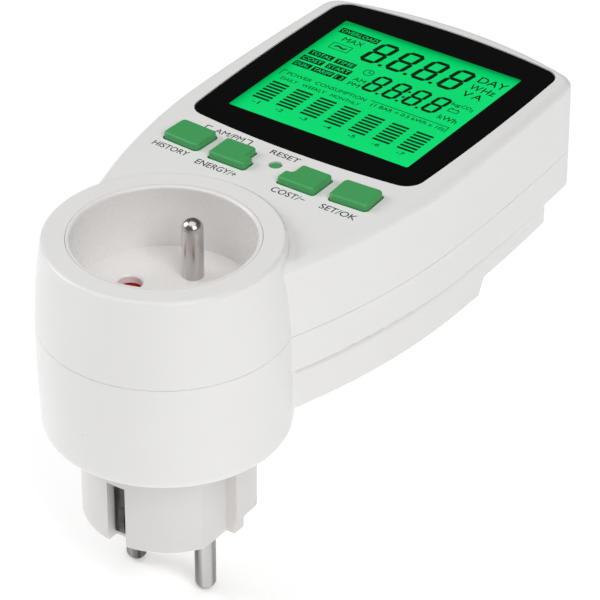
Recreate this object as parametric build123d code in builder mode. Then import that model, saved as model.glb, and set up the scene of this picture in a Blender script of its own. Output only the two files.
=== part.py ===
from build123d import *
import os
from math import cos, radians, sin

os.makedirs("parts", exist_ok=True)

# Heights along Z, measured from the flat face of the plug
plug_height = 22.2
floor_wall = 2.4
seam_height = 48.4
ledge_height = 39.2
body_bottom = 28.4
far_bottom = 32.2
face_height = 66.4
rim_height = 69.0

# Plan of the body, one side, mirrored about X = 0
barrel_top_radius = 26.1
barrel_radius = 27.9
barrel_bottom_radius = 27.2
neck_y = 6.0
neck_half_width = 25.3
belly_y = 61.0
body_half_width = 35.4
end_half_width = 33.7
end_side_y = 110.0
end_middle_y = 115.6
end_corner_radius = 5.0
wall = 2.2
face_wall = 2.4
tier_inset = 1.2
tier_setback = 6.4
step_y = 71.2
step_run = 2.2
top_edge_radius = 2.0
barrel_edge_radius = 2.4
barrel_wall = 1.5
front_swell = 0.35
rear_swell = 0.2
seam_bevel = 0.15
bottom_edge = 0.8
ledge_edge_radius = 0.8
collar_edge_radius = 0.9
lip_thickness = 0.9
lip_height = 1.2
fit_gap = 0.1

# Socket, standard 40 mm recess with holes 19 mm apart
recess_radius = 19.85
recess_depth = 15.0
insert_neck_radius = 20.85
insert_wall_radius = 21.8
insert_flange_radius = 24.2
insert_flange_thickness = 2.2
collar_thickness = 2.5
insert_floor = 2.0
insert_lip_radius = 0.6
hole_bevel = 0.4
pole_spacing = 19.0
socket_hole_radius = 2.75
earth_offset = 10.0
earth_pin_radius = 2.4
earth_pin_standout = 14.0
earth_stem_radius = 2.0
earth_shank_radius = 1.6
earth_shoulder_rise = 2.4
earth_tip_radius = 2.2

# Plug
plug_radius = 19.2
plug_flange_radius = 24.3
plug_flange_thickness = 2.0
plug_edge = 0.5
line_pin_radius = 2.4
line_pin_length = 19.0
line_pin_shank_radius = 2.0
tip_height = 1.9
tip_angle = 50.0
rivet_radius = 1.5
rivet_standout = 1.6
flat_offset = 16.4
flat_start_y = -1.4
key_rib_width = 3.4
key_rib_offset = 18.6
shoulder_height = 3.2
clip_slot_width = 4.8
clip_slot_depth = 16.8
clip_slot_web = 6.7
strap_thickness = 0.8
strap_leg_width = 4.2
strap_bar_width = 6.0
strap_leg_bottom = 1.5
strap_bump = 0.7
bump_length = 7.0
bump_width = 1.6
sleeve_outer_radius = 3.3
sleeve_inner_radius = 2.45
sleeve_bottom = 1.5
sleeve_web = 1.2
sleeve_hole_radius = 2.9
sleeve_cap = 2.0
sleeve_slit = 0.7
sleeve_slit_length = 13.0

# Socket contacts, shutter and their block
block_radius = 21.6
block_top_radius = 20.2
block_drop = 0.7
pocket_inner_x = 5.2
pocket_outer_x = 14.5
pocket_half_y = 4.2
contact_length = 6.0
contact_gap = 5.2
contact_strip = 0.8
contact_drop = 1.2
left_foot_rise = 2.8
shunt_thickness = 1.0
shunt_top_thickness = 0.8
shunt_margin = 0.8
shutter_thickness = 1.9
shutter_gap = 0.3
shutter_reach = 13.2
shutter_arm_width = 7.2
shutter_hub_radius = 4.4
pivot_radius = 1.5
pivot_clearance = 0.06
pivot_boss_radius = 2.6
spring_radius = 3.3
spring_wire = 0.25
spring_length = 1.85
spring_gap = 0.35
spring_pitch = 0.62
spring_pocket_outer = 4.1
shutter_lift = 0.05
shutter_corner = 1.2
ramp_depth = 0.9
ramp_width = 2.2

# Display window
window_half_width = 30.9
window_corner_x = 30.1
window_near_side_y = 49.2
window_near_middle_y = 47.1
window_far_side_y = 109.4
window_far_middle_y = 112.1
window_middle_y = 78.5
window_corner_radius = 4.6
window_thickness = 1.0
window_recess_depth = 1.1
window_gap = 0.12
window_edge = 0.25

# Keys
key_width = 9.7
key_depth = 7.6
key_corner_radius = 1.2
key_rise = 1.6
key_top_edge = 0.6
key_gap = 0.25
key_flange = 0.7
key_flange_thickness = 1.0
outer_key_x = 22.1
outer_key_y = 39.2
outer_key_tilt = 3.0
inner_key_x = 9.2
inner_key_y = 38.4
key_bite_width = 1.8
key_bite_depth = 3.9
key_bite_radius = 0.8
reset_y = 40.5
reset_radius = 1.3
reset_flange_radius = 2.0
reset_sink = 0.15
reset_edge = 0.3

# Boards and display stack
board_thickness = 1.6
main_board_depth = 7.0
power_board_rise = 8.2
board_edge_gap = 1.0
board_hole_radius = 1.1
main_board_near_y = 33.0
mat_base_thickness = 1.0
mat_half_width = 27.1
mat_near_y = 33.5
mat_far_y = 44.1
dome_radius = 3.2
dome_wall = 0.7
reset_dome_radius = 1.9
key_stem_gap = 0.1
lcd_half_width = 26.6
lcd_near_y = 53.5
lcd_far_y = 105.6
lcd_thickness = 2.0
lcd_gap = 0.3
lcd_top_gap = 0.1
guide_near_y = 56.3
holder_wall = 1.4
holder_gap = 0.1
zebra_width = 2.0
zebra_half_length = 24.6
post_radius = 1.9
post_hole_radius = 0.9
near_post_x = 29.5
near_post_y = 46.8
far_post_x = 19.8
far_post_y = 109.1
pcb_screw_head_radius = 1.8
pcb_screw_head = 1.2
pcb_screw_bite = 3.0
chip_size = 12.0
chip_thickness = 1.6
chip_bevel = 0.4
chip_y = 65.0
battery_radius = 7.7
battery_cell = 6.0
battery_cells = 3
battery_waist = 0.5
battery_sink = 0.3
battery_y = 90.5
power_board_half_width = 24.0
power_board_near_y = 34.0
power_board_far_y = 66.6
power_post_radius = 2.2
power_post_x = 20.5
power_post_y = 51.0
link_pin_radius = 0.32
link_pitch = 2.54
link_pins = 6
link_x = 12.0
link_y = 47.2
link_plastic = 2.4
capacitor_length = 18.0
capacitor_width = 8.0
capacitor_height = 14.0
capacitor_y = 58.8
varistor_radius = 5.5
varistor_thickness = 3.6
varistor_lead = 2.0
varistor_x = -13.5
varistor_y = 40.8
can_radius = 5.0
can_height = 12.0
can_x = 14.0
can_y = 39.0

# Casing screws and the label
near_screw_x = 25.0
near_screw_y = 29.2
far_screw_x = 27.5
far_screw_y = 97.6
boss_outer_radius = 3.2
column_radius = 4.2
screw_shaft_radius = 1.25
screw_hole_radius = 1.6
screw_head_radius = 2.6
screw_head_height = 1.8
screw_well_radius = 2.9
screw_seat_depth = 6.4
screw_bite = 8.0
boss_height = 8.8
web_width = 3.0
screw_end_gap = 0.4
lip_gap = 0.3
beyond = 200.0
screw_slot_width = 0.7
screw_slot_depth = 0.7
screw_cross = 3.2
screw_head_edge = 0.5
label_width = 36.0
label_length = 26.0
label_thickness = 0.2
label_y = 51.0

# Derived heights
plug_flange_bottom = plug_height + floor_wall
plug_flange_top = plug_flange_bottom + plug_flange_thickness
recess_floor = rim_height - recess_depth
insert_floor_bottom = recess_floor - insert_floor
collar_underside = rim_height - collar_thickness
face_underside = face_height - face_wall
main_board_top = face_height - main_board_depth
main_board_bottom = main_board_top - board_thickness
power_board_top = body_bottom + power_board_rise
power_board_bottom = power_board_top - board_thickness
key_top = face_height + key_rise
key_flange_top = face_underside - key_stem_gap
key_flange_bottom = key_flange_top - key_flange_thickness
barrel_inner_radius = barrel_top_radius - barrel_wall
half_spacing = pole_spacing / 2
tip_rise = tip_height * (1 - cos(radians(tip_angle)))
shutter_bottom = insert_floor_bottom - shutter_gap - shutter_thickness
block_top = shutter_bottom - block_drop
contact_top = block_top - contact_drop
contact_left_foot = plug_flange_top + left_foot_rise
earth_shoulder_height = plug_flange_top + earth_shoulder_rise
spring_top = shutter_bottom - spring_gap
spring_bottom = spring_top - spring_length
clip_slot_top = plug_height - clip_slot_web
sleeve_top = plug_height - sleeve_web
screw_seat_height = seam_height - screw_seat_depth
lcd_top = face_height - window_recess_depth - lcd_top_gap
guide_thickness = lcd_top - lcd_thickness - main_board_top
lcd_middle_y = (lcd_near_y + lcd_far_y) / 2
lcd_length = lcd_far_y - lcd_near_y
near_post = (near_post_x, near_post_y)
far_post = (far_post_x, far_post_y)
near_screw = (near_screw_x, near_screw_y)
far_screw = (far_screw_x, far_screw_y)
web_end_x = (body_half_width + end_half_width - wall) / 2
both_sides = (-1, 1)


def mirrored(place):
    """The same place on both sides of the centre plane."""
    return [(side * place[0], place[1]) for side in both_sides]


post_places = mirrored(near_post) + mirrored(far_post)
screw_places = mirrored(near_screw) + mirrored(far_screw)
power_post_places = mirrored((power_post_x, power_post_y))


def body_plan(inset=0.0, setback=0.0):
    """Plan of the body, drawn in by the inset and cut short at the far end by the setback."""
    neck = neck_half_width - inset
    belly = body_half_width - inset
    end = end_half_width - inset
    side_y = end_side_y - inset - setback
    middle_y = end_middle_y - inset - setback
    with BuildSketch() as plan:
        with BuildLine():
            for side in both_sides:
                TangentArc((side * belly, belly_y), (side * neck, neck_y), tangent=(0, -1))
                TangentArc((side * belly, belly_y), (side * end, side_y), tangent=(0, 1))
            ThreePointArc((-end, side_y), (0, middle_y), (end, side_y))
            Line((-neck, neck_y), (neck, neck_y))
        make_face()
        fillet(plan.vertices().group_by(Axis.Y)[-1], end_corner_radius)
    return plan.sketch


def window_plan(inset=0.0):
    """Bowed outline of the display window, drawn in by the inset."""
    corner_x = window_corner_x - inset
    near_y = window_near_side_y + inset
    far_y = window_far_side_y - inset
    half = window_half_width - inset
    with BuildSketch() as plan:
        with BuildLine():
            ThreePointArc((-corner_x, near_y), (0, window_near_middle_y + inset), (corner_x, near_y))
            ThreePointArc((corner_x, near_y), (half, window_middle_y), (corner_x, far_y))
            ThreePointArc((corner_x, far_y), (0, window_far_middle_y - inset), (-corner_x, far_y))
            ThreePointArc((-corner_x, far_y), (-half, window_middle_y), (-corner_x, near_y))
        make_face()
        fillet(plan.vertices(), window_corner_radius)
    return plan.sketch


def key_plan(side, is_inner, grow=0.0):
    """Outline of one key: an inner key has a stepped corner beside the reset button."""
    width = key_width + 2 * grow
    depth = key_depth + 2 * grow
    centre = (inner_key_x, inner_key_y) if is_inner else (outer_key_x, outer_key_y)
    tilt = 0.0 if is_inner else side * outer_key_tilt
    with BuildSketch() as plan:
        Rectangle(width, depth)
        if is_inner:
            with Locations((-side * (width - key_bite_width) / 2, (depth - key_bite_depth) / 2)):
                Rectangle(key_bite_width, key_bite_depth, mode=Mode.SUBTRACT)
        fillet(plan.vertices(), key_bite_radius if is_inner else key_corner_radius)
    return Pos(side * centre[0], centre[1]) * Rot(0, 0, tilt) * plan.sketch


# Front half of the casing
with BuildPart() as front_casing:
    with BuildSketch(Plane.XY.offset(seam_height)):
        add(body_plan())
    extrude(amount=face_height - seam_height)
    fillet(front_casing.faces().sort_by(Axis.Z)[-1].edges().sort_by(Axis.Y)[1:], top_edge_radius)
    with BuildSketch(Plane.XZ) as collar_half:
        with BuildLine():
            Line((0, seam_height), (barrel_radius, seam_height))
            ThreePointArc(
                (barrel_radius, seam_height),
                ((barrel_radius + barrel_top_radius) / 2 + front_swell, (seam_height + rim_height) / 2),
                (barrel_top_radius, rim_height),
            )
            Line((barrel_top_radius, rim_height), (0, rim_height))
            Line((0, rim_height), (0, seam_height))
        make_face()
        fillet(collar_half.vertices().group_by(Axis.X)[-2], collar_edge_radius)
    revolve(axis=Axis.Z)
    with BuildSketch(Plane.XY.offset(seam_height)):
        add(body_plan(wall))
    extrude(amount=face_underside - seam_height, mode=Mode.SUBTRACT)
    with BuildSketch(Plane.XY.offset(seam_height)):
        Circle(barrel_inner_radius)
    extrude(amount=collar_underside - seam_height, mode=Mode.SUBTRACT)
    with BuildSketch(Plane.XY.offset(collar_underside)):
        Circle(insert_neck_radius + fit_gap)
    extrude(amount=rim_height - collar_underside, mode=Mode.SUBTRACT)
    with BuildSketch(Plane.XY.offset(face_height - window_recess_depth)):
        add(window_plan())
    extrude(amount=window_recess_depth, mode=Mode.SUBTRACT)
    with BuildSketch(Plane.XY.offset(face_underside)):
        with Locations((0, lcd_middle_y)):
            Rectangle(2 * (lcd_half_width + lcd_gap), lcd_length + 2 * lcd_gap)
    extrude(amount=face_wall, mode=Mode.SUBTRACT)
    for side in both_sides:
        for is_inner in (True, False):
            with BuildSketch(Plane.XY.offset(face_underside)):
                add(key_plan(side, is_inner, key_gap))
            extrude(amount=face_wall, mode=Mode.SUBTRACT)
    with BuildSketch(Plane.XY.offset(face_underside)):
        with Locations((0, reset_y)):
            Circle(reset_radius + key_gap)
    extrude(amount=face_wall, mode=Mode.SUBTRACT)
    with BuildSketch(Plane.XY.offset(seam_height)):
        with Locations(*screw_places):
            Circle(boss_outer_radius)
    extrude(amount=boss_height)
    with BuildSketch(Plane.XY.offset(seam_height + boss_height)):
        with Locations(*mirrored(near_screw)):
            Circle(boss_outer_radius)
    extrude(amount=face_underside - seam_height - boss_height)
    with BuildSketch(Plane.XY.offset(seam_height + lip_height + lip_gap)):
        with Locations(*mirrored(((far_screw_x + web_end_x) / 2, far_screw_y))):
            Rectangle(web_end_x - far_screw_x, web_width)
    extrude(amount=boss_height - lip_height - lip_gap)
    with BuildSketch(Plane.XY.offset(seam_height)):
        with Locations(*screw_places):
            Circle(screw_shaft_radius)
    extrude(amount=screw_bite + screw_end_gap, mode=Mode.SUBTRACT)
    with BuildSketch(Plane.XY.offset(main_board_top)):
        with Locations(*post_places):
            Circle(post_radius)
            Circle(post_hole_radius, mode=Mode.SUBTRACT)
    extrude(amount=pcb_screw_bite)
    with BuildSketch(Plane.XY.offset(main_board_top + pcb_screw_bite)):
        with Locations(*post_places):
            Circle(post_radius)
    extrude(amount=face_underside - main_board_top - pcb_screw_bite)
    chamfer(front_casing.faces().sort_by(Axis.Z)[0].outer_wire().edges(), seam_bevel)
front_casing.part.label = "front_casing"
export_step(front_casing.part, "parts/front_casing.step")

# Rear half of the casing, with the barrel, the stepped back and the screw wells
with BuildPart() as rear_casing:
    with BuildSketch(Plane.XY.offset(ledge_height)):
        add(body_plan())
    extrude(amount=seam_height - ledge_height)
    fillet(rear_casing.faces().sort_by(Axis.Z)[0].edges().sort_by(Axis.Y)[1:], ledge_edge_radius)
    with BuildSketch(Plane.XY.offset(body_bottom)):
        add(body_plan(tier_inset, tier_setback))
    extrude(amount=ledge_height - body_bottom)
    with BuildSketch(Plane.YZ):
        with BuildLine():
            Polyline(
                (step_y - step_run, body_bottom - beyond),
                (step_y - step_run, body_bottom),
                (step_y, body_bottom),
                (step_y + step_run, far_bottom),
                (beyond, far_bottom),
                (beyond, body_bottom - beyond),
                close=True,
            )
        make_face()
    extrude(amount=beyond, both=True, mode=Mode.SUBTRACT)
    chamfer(
        rear_casing.edges().filter_by_position(
            Axis.Z, body_bottom - fit_gap, far_bottom + fit_gap
        ).filter_by_position(
            Axis.Y, neck_y + fit_gap, end_middle_y
        ).filter_by(GeomType.LINE, reverse=True),
        bottom_edge,
    )
    with BuildSketch(Plane.XZ) as barrel_half:
        with BuildLine():
            Line((0, plug_height), (barrel_bottom_radius, plug_height))
            ThreePointArc(
                (barrel_bottom_radius, plug_height),
                ((barrel_bottom_radius + barrel_radius) / 2 + rear_swell, (plug_height + seam_height) / 2),
                (barrel_radius, seam_height),
            )
            Line((barrel_radius, seam_height), (0, seam_height))
            Line((0, seam_height), (0, plug_height))
        make_face()
        fillet(barrel_half.vertices().group_by(Axis.Y)[0].sort_by(Axis.X)[-1:], barrel_edge_radius)
    revolve(axis=Axis.Z)
    with BuildSketch(Plane.XY.offset(body_bottom + wall)):
        add(body_plan(tier_inset + wall, tier_setback))
        with Locations((0, step_y)):
            Rectangle(beyond, beyond, align=(Align.CENTER, Align.MIN), mode=Mode.SUBTRACT)
    extrude(amount=far_bottom - body_bottom, mode=Mode.SUBTRACT)
    with BuildSketch(Plane.XY.offset(far_bottom + wall)):
        add(body_plan(tier_inset + wall, tier_setback))
    extrude(amount=seam_height - far_bottom - wall, mode=Mode.SUBTRACT)
    with BuildSketch(Plane.XY.offset(ledge_height + wall)):
        add(body_plan(wall))
    extrude(amount=seam_height - ledge_height - wall, mode=Mode.SUBTRACT)
    with BuildSketch(Plane.XY.offset(plug_flange_bottom)):
        Circle(barrel_inner_radius)
    extrude(amount=seam_height - plug_flange_bottom, mode=Mode.SUBTRACT)
    with BuildSketch(Plane.XY.offset(plug_height)):
        Circle(plug_radius + fit_gap)
    extrude(amount=floor_wall, mode=Mode.SUBTRACT)
    with BuildSketch(Plane.XY.offset(seam_height - 2 * lip_height)):
        add(body_plan(wall - fit_gap))
        add(body_plan(wall + lip_thickness), mode=Mode.SUBTRACT)
        Rectangle(beyond, 2 * barrel_radius, mode=Mode.SUBTRACT)
    extrude(amount=2 * lip_height)
    with BuildSketch(Plane.XY.offset(seam_height)):
        add(body_plan(wall + fit_gap))
        add(body_plan(wall + lip_thickness), mode=Mode.SUBTRACT)
        Rectangle(beyond, 2 * barrel_radius, mode=Mode.SUBTRACT)
    extrude(amount=lip_height)
    for place, bottom in ((near_screw, body_bottom + wall / 2), (far_screw, far_bottom + wall / 2)):
        with BuildSketch(Plane.XY.offset(bottom)):
            with Locations(*mirrored(place)):
                Circle(column_radius)
        extrude(amount=seam_height - bottom)
    with BuildSketch(Plane.XY.offset(body_bottom)):
        with Locations(*screw_places):
            Circle(screw_well_radius)
    extrude(amount=screw_seat_height - body_bottom, mode=Mode.SUBTRACT)
    with BuildSketch(Plane.XY.offset(screw_seat_height)):
        with Locations(*screw_places):
            Circle(screw_hole_radius)
    extrude(amount=seam_height - screw_seat_height, mode=Mode.SUBTRACT)
    with BuildSketch(Plane.XY.offset(body_bottom + wall / 2)):
        with Locations(*power_post_places):
            Circle(power_post_radius)
    extrude(amount=power_board_bottom - body_bottom - wall / 2)
    with BuildSketch(Plane.XY.offset(power_board_bottom - pcb_screw_bite)):
        with Locations(*power_post_places):
            Circle(post_hole_radius)
    extrude(amount=pcb_screw_bite, mode=Mode.SUBTRACT)
    with BuildSketch(Plane.XY.offset(body_bottom)):
        with Locations((0, label_y)):
            Rectangle(label_width + 2 * fit_gap, label_length + 2 * fit_gap)
    extrude(amount=label_thickness, mode=Mode.SUBTRACT)
rear_casing.part.label = "rear_casing"
export_step(rear_casing.part, "parts/rear_casing.step")

# Round cup of the socket, held up against the underside of the collar
with BuildPart() as socket_insert:
    with BuildSketch(Plane.XZ) as cup_half:
        with BuildLine():
            Polyline(
                (0, insert_floor_bottom),
                (block_top_radius + fit_gap, insert_floor_bottom),
                (block_top_radius + fit_gap, seam_height),
                (insert_wall_radius, seam_height),
                (insert_wall_radius, collar_underside - insert_flange_thickness),
                (insert_flange_radius, collar_underside - insert_flange_thickness),
                (insert_flange_radius, collar_underside),
                (insert_neck_radius, collar_underside),
                (insert_neck_radius, rim_height),
                (recess_radius, rim_height),
                (recess_radius, recess_floor),
                (0, recess_floor),
                close=True,
            )
        make_face()
        lip_corner = cup_half.vertices().group_by(Axis.Y)[-1].sort_by(Axis.X)[0]
        fillet(lip_corner, insert_lip_radius)
    revolve(axis=Axis.Z)
    with BuildSketch(Plane.XY.offset(insert_floor_bottom)):
        with Locations((-half_spacing, 0), (half_spacing, 0)):
            Circle(socket_hole_radius)
        with Locations((0, earth_offset)):
            Circle(earth_stem_radius)
    extrude(amount=insert_floor, mode=Mode.SUBTRACT)
    chamfer(
        socket_insert.edges().filter_by(GeomType.CIRCLE).filter_by_position(
            Axis.Z, recess_floor - 0.01, recess_floor + 0.01
        ).sort_by(SortBy.RADIUS)[1:3],
        hole_bevel,
    )
socket_insert.part.label = "socket_insert"
export_step(socket_insert.part, "parts/socket_insert.step")

# Plug moulding with side flats, keying ribs, earth-clip slots and a flange inside the barrel
with BuildPart() as plug_body:
    with BuildSketch(Plane.XY):
        Circle(plug_radius)
    extrude(amount=plug_flange_bottom)
    fillet(plug_body.edges().group_by(Axis.Z)[0], plug_edge)
    with BuildSketch(Plane.XY.offset(plug_flange_bottom)):
        Circle(plug_flange_radius)
    extrude(amount=plug_flange_thickness)
    for side in both_sides:
        outward = Align.MAX if side < 0 else Align.MIN
        with BuildSketch(Plane.XY):
            with Locations((side * flat_offset, flat_start_y)):
                Rectangle(plug_radius, plug_radius, align=(outward, Align.MAX))
        extrude(amount=plug_height, mode=Mode.SUBTRACT)
        with BuildSketch(Plane.XY):
            with Locations((side * key_rib_offset, flat_start_y)):
                Rectangle(plug_radius, key_rib_width, align=(outward, Align.MIN))
            with Locations((side * flat_offset, flat_start_y + key_rib_width)):
                Rectangle(plug_radius, plug_radius, align=(outward, Align.MIN))
        extrude(amount=shoulder_height, mode=Mode.SUBTRACT)
        with BuildSketch(Plane.XY):
            with Locations((0, side * (clip_slot_depth - strap_thickness))):
                Rectangle(clip_slot_width, plug_radius, align=(Align.CENTER, outward))
        extrude(amount=clip_slot_top, mode=Mode.SUBTRACT)
        with BuildSketch(Plane.XY):
            with Locations((0, side * (clip_slot_depth - strap_thickness / 2))):
                Rectangle(strap_leg_width, strap_thickness)
        extrude(amount=plug_flange_top, mode=Mode.SUBTRACT)
    with BuildSketch(Plane.XY):
        with Locations((-half_spacing, 0), (half_spacing, 0)):
            Circle(line_pin_shank_radius)
        with Locations((0, earth_offset)):
            Circle(earth_shank_radius)
    extrude(amount=plug_flange_top, mode=Mode.SUBTRACT)
    with BuildSketch(Plane.XY):
        with Locations((0, earth_offset)):
            Circle(sleeve_hole_radius)
    extrude(amount=sleeve_bottom, mode=Mode.SUBTRACT)
    with BuildSketch(Plane.XY.offset(sleeve_bottom)):
        with Locations((0, earth_offset)):
            Circle(sleeve_outer_radius)
    extrude(amount=sleeve_top - sleeve_bottom, mode=Mode.SUBTRACT)
plug_body.part.label = "plug_body"
export_step(plug_body.part, "parts/plug_body.step")


def line_pin(side):
    """One plug pin: rounded tip, shoulder on the plug face, thinner shank and rivet end."""
    with BuildPart() as pin:
        with BuildSketch(Plane.XZ):
            with BuildLine():
                ThreePointArc(
                    (0, -line_pin_length),
                    (line_pin_radius * sin(radians(tip_angle)), tip_rise - line_pin_length),
                    (line_pin_radius, tip_height - line_pin_length),
                )
                Polyline(
                    (line_pin_radius, tip_height - line_pin_length),
                    (line_pin_radius, 0),
                    (line_pin_shank_radius, 0),
                    (line_pin_shank_radius, plug_flange_top),
                    (rivet_radius, plug_flange_top),
                    (rivet_radius, plug_flange_top + rivet_standout),
                    (0, plug_flange_top + rivet_standout),
                    (0, -line_pin_length),
                )
            make_face()
        revolve(axis=Axis.Z)
    return Pos(side * half_spacing, 0, 0) * pin.part


with BuildPart() as line_pin_left:
    add(line_pin(-1))
line_pin_left.part.label = "line_pin_left"
export_step(line_pin_left.part, "parts/line_pin_left.step")

with BuildPart() as line_pin_right:
    add(line_pin(1))
line_pin_right.part.label = "line_pin_right"
export_step(line_pin_right.part, "parts/line_pin_right.step")

# Earth pin of the socket: its shoulder clamps the cup's floor and its stem is riveted into the earth strap
with BuildPart() as earth_pin:
    with BuildSketch(Plane.XY.offset(plug_flange_top)):
        with Locations((0, earth_offset)):
            Circle(earth_shank_radius)
    extrude(amount=earth_shoulder_height - plug_flange_top)
    with BuildSketch(Plane.XY.offset(earth_shoulder_height)):
        with Locations((0, earth_offset)):
            Circle(earth_stem_radius)
    extrude(amount=recess_floor - earth_shoulder_height)
    with BuildSketch(Plane.XY.offset(recess_floor)):
        with Locations((0, earth_offset)):
            Circle(earth_pin_radius)
    extrude(amount=earth_pin_standout)
    fillet(earth_pin.edges().group_by(Axis.Z)[-1], earth_tip_radius)
earth_pin.part.label = "earth_pin"
export_step(earth_pin.part, "parts/earth_pin.step")

# Earth strap: a bar under the socket block and a leg down each side of the plug
with BuildPart() as earth_strap:
    with BuildSketch(Plane.XY.offset(plug_flange_top)):
        Rectangle(strap_bar_width, 2 * clip_slot_depth)
        with Locations((0, earth_offset)):
            Circle(earth_shank_radius, mode=Mode.SUBTRACT)
    extrude(amount=strap_thickness)
    for side in both_sides:
        with BuildSketch(Plane.XY.offset(strap_leg_bottom)):
            with Locations((0, side * (clip_slot_depth - strap_thickness / 2))):
                Rectangle(strap_leg_width, strap_thickness)
        extrude(amount=plug_flange_top - strap_leg_bottom)
        with BuildSketch(Plane.YZ):
            with BuildLine():
                ThreePointArc(
                    (side * clip_slot_depth, strap_leg_bottom),
                    (side * (clip_slot_depth + strap_bump), strap_leg_bottom + bump_length / 2),
                    (side * clip_slot_depth, strap_leg_bottom + bump_length),
                )
                Line(
                    (side * clip_slot_depth, strap_leg_bottom),
                    (side * clip_slot_depth, strap_leg_bottom + bump_length),
                )
            make_face()
        extrude(amount=bump_width / 2, both=True)
earth_strap.part.label = "earth_strap"
export_step(earth_strap.part, "parts/earth_strap.step")

# Female earth contact of the plug: a split tube on a stem
with BuildPart() as earth_sleeve:
    with BuildSketch(Plane.XY.offset(sleeve_bottom)):
        with Locations((0, earth_offset)):
            Circle(sleeve_outer_radius)
    extrude(amount=sleeve_top - sleeve_bottom)
    with BuildSketch(Plane.XY.offset(sleeve_top)):
        with Locations((0, earth_offset)):
            Circle(earth_shank_radius)
    extrude(amount=plug_flange_top - sleeve_top)
    with BuildSketch(Plane.XY.offset(sleeve_bottom)):
        with Locations((0, earth_offset)):
            Circle(sleeve_inner_radius)
    extrude(amount=sleeve_top - sleeve_bottom - sleeve_cap, mode=Mode.SUBTRACT)
    with BuildSketch(Plane.XY.offset(sleeve_bottom)):
        with Locations((0, earth_offset)):
            Rectangle(beyond, sleeve_slit)
    extrude(amount=sleeve_slit_length, mode=Mode.SUBTRACT)
earth_sleeve.part.label = "earth_sleeve"
export_step(earth_sleeve.part, "parts/earth_sleeve.step")

# Block that holds the socket contacts and carries the shutter pivot
pocket_width = pocket_outer_x - pocket_inner_x
pocket_centre_x = (pocket_outer_x + pocket_inner_x) / 2
with BuildPart() as contact_block:
    with BuildSketch(Plane.XY.offset(plug_flange_top)):
        Circle(block_radius)
    extrude(amount=seam_height - plug_flange_top)
    with BuildSketch(Plane.XY.offset(seam_height)):
        Circle(block_top_radius)
    extrude(amount=block_top - seam_height)
    with BuildSketch(Plane.XY.offset(plug_flange_top)):
        with Locations((-pocket_centre_x, 0), (pocket_centre_x, 0)):
            Rectangle(pocket_width, 2 * pocket_half_y)
    extrude(amount=block_top - plug_flange_top, mode=Mode.SUBTRACT)
    with BuildSketch(Plane.XY.offset(plug_flange_top)):
        Rectangle(strap_bar_width, 2 * clip_slot_depth)
    extrude(amount=strap_thickness, mode=Mode.SUBTRACT)
    with BuildSketch(Plane.XY.offset(plug_flange_top)):
        with Locations((0, earth_offset)):
            Circle(earth_shank_radius)
    extrude(amount=earth_shoulder_height - plug_flange_top, mode=Mode.SUBTRACT)
    with BuildSketch(Plane.XY.offset(earth_shoulder_height)):
        with Locations((0, earth_offset)):
            Circle(earth_stem_radius)
    extrude(amount=block_top - earth_shoulder_height, mode=Mode.SUBTRACT)
    with BuildSketch(Plane.XY.offset(spring_bottom)):
        Circle(spring_pocket_outer)
        Circle(pivot_boss_radius, mode=Mode.SUBTRACT)
    extrude(amount=block_top - spring_bottom, mode=Mode.SUBTRACT)
    with BuildSketch(Plane.XY.offset(block_top)):
        Circle(pivot_boss_radius)
    extrude(amount=shutter_bottom - shutter_lift - block_top)
    with BuildSketch(Plane.XY.offset(block_top)):
        Circle(pivot_radius)
    extrude(amount=shutter_bottom + shutter_thickness - block_top)
contact_block.part.label = "contact_block"
export_step(contact_block.part, "parts/contact_block.step")


def spring_contact(side, foot_height, has_rivet_hole):
    """U-shaped spring contact: a foot plate and two leaves that grip an entering pin."""
    leaf_height = contact_top - foot_height
    with BuildPart() as contact:
        with BuildSketch(Plane.XY.offset(foot_height)):
            Rectangle(contact_length, contact_gap + 2 * contact_strip)
            if has_rivet_hole:
                Circle(rivet_radius, mode=Mode.SUBTRACT)
        extrude(amount=contact_strip)
        with BuildSketch(Plane.XY.offset(foot_height)):
            with Locations((0, -(contact_gap + contact_strip) / 2), (0, (contact_gap + contact_strip) / 2)):
                Rectangle(contact_length, contact_strip)
        extrude(amount=leaf_height)
    return Pos(side * half_spacing, 0, 0) * contact.part


with BuildPart() as contact_left:
    add(spring_contact(-1, contact_left_foot, False))
contact_left.part.label = "contact_left"
export_step(contact_left.part, "parts/contact_left.step")

with BuildPart() as contact_right:
    add(spring_contact(1, plug_flange_top, True))
contact_right.part.label = "contact_right"
export_step(contact_right.part, "parts/contact_right.step")

# Measuring shunt folded between the left plug pin and the left contact
shunt_inner_x = contact_length / 2 - half_spacing
shunt_outer_x = -(pocket_outer_x - shunt_margin)
with BuildPart() as shunt:
    with BuildSketch(Plane.XZ):
        with BuildLine():
            Polyline(
                (shunt_inner_x, plug_flange_top),
                (shunt_outer_x, plug_flange_top),
                (shunt_outer_x, contact_left_foot),
                (shunt_inner_x, contact_left_foot),
                (shunt_inner_x, contact_left_foot - shunt_top_thickness),
                (shunt_outer_x + shunt_thickness, contact_left_foot - shunt_top_thickness),
                (shunt_outer_x + shunt_thickness, plug_flange_top + shunt_thickness),
                (shunt_inner_x, plug_flange_top + shunt_thickness),
                close=True,
            )
        make_face()
    extrude(amount=contact_length / 2, both=True)
    with BuildSketch(Plane.XY.offset(plug_flange_top)):
        with Locations((-half_spacing, 0)):
            Circle(rivet_radius)
    extrude(amount=shunt_thickness, mode=Mode.SUBTRACT)
shunt.part.label = "shunt"
export_step(shunt.part, "parts/shunt.step")

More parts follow.
